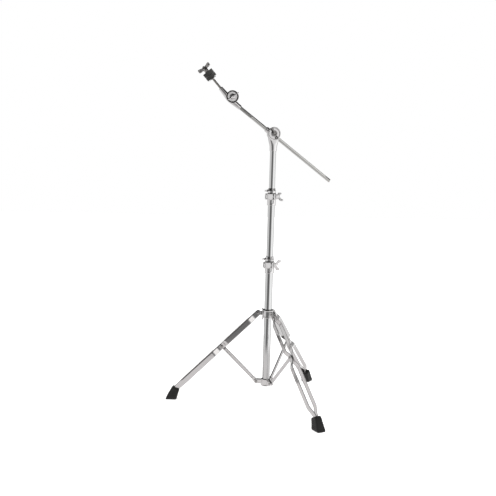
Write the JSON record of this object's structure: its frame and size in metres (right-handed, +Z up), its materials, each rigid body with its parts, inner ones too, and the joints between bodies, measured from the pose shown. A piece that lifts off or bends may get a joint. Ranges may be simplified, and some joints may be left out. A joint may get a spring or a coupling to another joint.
{
  "type": "cymbal boom stand",
  "caption": "Folding tripod stand with telescoping tube column, tilting boom rod and a small felt-padded tilter that holds a cymbal.",
  "frame": {"origin": "floor point under the middle of the stand's overall box, so the column stands 57 mm towards +X and 33 mm towards +Y of it", "axes": "+Z up along the column; the boom lies in an XZ plane with its cymbal end towards -X, and the wing nuts face -Y"},
  "size_m": [0.6368, 0.6611, 1.2553],
  "materials": {
    "chrome_tube": "bright chrome plate on drawn steel tube",
    "chrome_rod": "chrome plate, fine knurl where the eye bolt grips",
    "chrome_pressing": "chrome plate on pressed steel strip, slightly satin",
    "chrome_casting": "chrome plate on die casting, softly rounded edges",
    "plated_steel": "zinc-plated fasteners and threaded rod",
    "black_nylon": "black nylon",
    "pale_cap": "pale plastic end plug",
    "foot_rubber": "ribbed black rubber",
    "felt": "dense black wool felt"
  },
  "bodies": {
    "base": {"base_tube": "chrome_tube", "base_plug": "black_nylon", "stay_bracket": "chrome_casting", "stay_pins": "plated_steel", "clamp_1_body": "chrome_casting", "clamp_1_bush": "black_nylon", "clamp_1_nut": "plated_steel"},
    "stay_1": {"stay_1": "chrome_pressing"},
    "stay_2": {"stay_2": "chrome_pressing"},
    "stay_3": {"stay_3": "chrome_pressing"},
    "leg_1": {"leg_1_strap_left": "chrome_pressing", "leg_1_strap_right": "chrome_pressing", "leg_1_rivet": "plated_steel", "leg_1_foot": "foot_rubber"},
    "leg_2": {"leg_2_strap_left": "chrome_pressing", "leg_2_strap_right": "chrome_pressing", "leg_2_rivet": "plated_steel", "leg_2_foot": "foot_rubber"},
    "leg_3": {"leg_3_strap_left": "chrome_pressing", "leg_3_strap_right": "chrome_pressing", "leg_3_rivet": "plated_steel", "leg_3_foot": "foot_rubber"},
    "collar": {"leg_collar": "chrome_casting", "collar_bush": "black_nylon", "collar_pins": "plated_steel"},
    "collar_bolt": {"collar_wing_bolt": "chrome_casting"},
    "clamp_1_bolt": {"clamp_1_wing_bolt": "chrome_casting"},
    "lock_1": {"memory_lock_1": "chrome_casting"},
    "lock_1_key": {"lock_1_key_bolt": "plated_steel"},
    "mid": {"mid_tube": "chrome_tube", "clamp_2_body": "chrome_casting", "clamp_2_bush": "black_nylon", "clamp_2_nut": "plated_steel"},
    "clamp_2_bolt": {"clamp_2_wing_bolt": "chrome_casting"},
    "lock_2": {"memory_lock_2": "chrome_casting"},
    "lock_2_key": {"lock_2_key_bolt": "plated_steel"},
    "upper": {"upper_tube": "chrome_tube", "boom_socket": "chrome_casting"},
    "holder": {"rod_holder": "chrome_casting", "eye_bolt": "plated_steel", "tilt_washer": "black_nylon"},
    "boom_nut": {"boom_wing_nut": "chrome_casting"},
    "boom": {"boom_rod": "chrome_rod", "boom_rod_cap": "pale_cap", "tilter_base": "chrome_casting", "tilter_washer": "black_nylon"},
    "tilter_screw": {"tilter_wing_screw": "chrome_casting"},
    "cymbal_arm": {"tilter_top": "chrome_casting", "cymbal_rod": "plated_steel", "seat_cup": "chrome_casting", "cymbal_sleeve": "black_nylon", "lower_felt": "felt"},
    "top_felt": {"upper_felt": "felt"},
    "cymbal_nut": {"cymbal_wing_nut": "chrome_casting"}
  },
  "joints": [
    {"name": "stay_1_fold", "type": "hinge", "parent": "base", "child": "stay_1", "pos_m": [0.02117, 0.03996, 0.0795], "axis": [0.1908, 0.9816, 0], "range_deg": [0, 40]},
    {"name": "leg_1_fold", "type": "hinge", "parent": "stay_1", "child": "leg_1", "pos_m": [-0.10869, 0.06521, 0.21025], "axis": [0.1908, 0.9816, 0], "range_deg": [-80, 0]},
    {"name": "stay_2_fold", "type": "hinge", "parent": "base", "child": "stay_2", "pos_m": [0.08095, 0.06055, 0.0795], "axis": [0.7547, -0.6561, 0], "range_deg": [0, 40]},
    {"name": "leg_2_fold", "type": "hinge", "parent": "stay_2", "child": "leg_2", "pos_m": [0.16774, 0.16039, 0.21025], "axis": [0.7547, -0.6561, 0], "range_deg": [-80, 0]},
    {"name": "stay_3_fold", "type": "hinge", "parent": "base", "child": "stay_3", "pos_m": [0.06888, -0.00151, 0.0795], "axis": [-0.9455, -0.3256, 0], "range_deg": [0, 40]},
    {"name": "leg_3_fold", "type": "hinge", "parent": "stay_3", "child": "leg_3", "pos_m": [0.11195, -0.12659, 0.21025], "axis": [-0.9455, -0.3256, 0], "range_deg": [-80, 0]},
    {"name": "collar_rise", "type": "hinge", "parent": "leg_1", "child": "collar", "pos_m": [0.02117, 0.03996, 0.341], "axis": [0.1908, 0.9816, 0], "range_deg": [0, 40]},
    {"name": "collar_bolt_turn", "type": "hinge", "parent": "collar", "child": "collar_bolt", "pos_m": [0.04821, 0.05853, 0.331], "axis": [-0.3256, 0.9455, 0], "continuous": true},
    {"name": "clamp_1_bolt_turn", "type": "hinge", "parent": "base", "child": "clamp_1_bolt", "pos_m": [0.0655, 0.0101, 0.525], "axis": [1, 0, 0], "continuous": true},
    {"name": "lock_1_swivel", "type": "hinge", "parent": "base", "child": "lock_1", "pos_m": [0.057, 0.033, 0.5453], "axis": [0, 0, 1], "continuous": true},
    {"name": "lock_1_key_turn", "type": "hinge", "parent": "lock_1", "child": "lock_1_key", "pos_m": [0.0373, 0.033, 0.5453], "axis": [-1, 0, 0], "continuous": true},
    {"name": "mid_tube_slide", "type": "slide", "parent": "lock_1", "child": "mid", "axis": [0, 0, 1], "range_m": [-0.185, 0.115]},
    {"name": "clamp_2_bolt_turn", "type": "hinge", "parent": "mid", "child": "clamp_2_bolt", "pos_m": [0.0655, 0.0117, 0.778], "axis": [1, 0, 0], "continuous": true},
    {"name": "lock_2_swivel", "type": "hinge", "parent": "mid", "child": "lock_2", "pos_m": [0.057, 0.033, 0.7983], "axis": [0, 0, 1], "continuous": true},
    {"name": "lock_2_key_turn", "type": "hinge", "parent": "lock_2", "child": "lock_2_key", "pos_m": [0.0389, 0.033, 0.7983], "axis": [-1, 0, 0], "continuous": true},
    {"name": "upper_tube_slide", "type": "slide", "parent": "lock_2", "child": "upper", "axis": [0, 0, 1], "range_m": [-0.13, 0.115]},
    {"name": "boom_tilt", "type": "hinge", "parent": "upper", "child": "holder", "pos_m": [0.057, 0.033, 1.0075], "axis": [0, 1, 0], "range_deg": [-75, 53]},
    {"name": "boom_nut_turn", "type": "hinge", "parent": "holder", "child": "boom_nut", "pos_m": [0.057, 0.019, 1.0075], "axis": [0, -1, 0], "continuous": true},
    {"name": "boom_rod_slide", "type": "slide", "parent": "holder", "child": "boom", "axis": [-0.8049, 0, 0.5934], "range_m": [-0.118, 0.215]},
    {"name": "tilter_screw_turn", "type": "hinge", "parent": "boom", "child": "tilter_screw", "pos_m": [-0.09626, 0.058, 1.13665], "axis": [0, -1, 0], "continuous": true},
    {"name": "cymbal_tilt", "type": "hinge", "parent": "boom", "child": "cymbal_arm", "pos_m": [-0.09626, 0.058, 1.13665], "axis": [0, 1, 0], "range_deg": [-30, 90]},
    {"name": "upper_felt_lift", "type": "slide", "parent": "cymbal_arm", "child": "top_felt", "axis": [-0.6717, 0, 0.7408], "range_m": [0, 0.05]},
    {"name": "cymbal_nut_turn", "type": "hinge", "parent": "top_felt", "child": "cymbal_nut", "pos_m": [-0.19322, 0.058, 1.22422], "axis": [-0.6717, 0, 0.7408], "continuous": true}
  ],
  "couplings": [
    {"joint": "leg_1_fold", "follows": "stay_1_fold", "ratio": -2},
    {"joint": "stay_2_fold", "follows": "stay_1_fold", "ratio": 1},
    {"joint": "leg_2_fold", "follows": "stay_1_fold", "ratio": -2},
    {"joint": "stay_3_fold", "follows": "stay_1_fold", "ratio": 1},
    {"joint": "leg_3_fold", "follows": "stay_1_fold", "ratio": -2},
    {"joint": "collar_rise", "follows": "stay_1_fold", "ratio": 1}
  ]
}
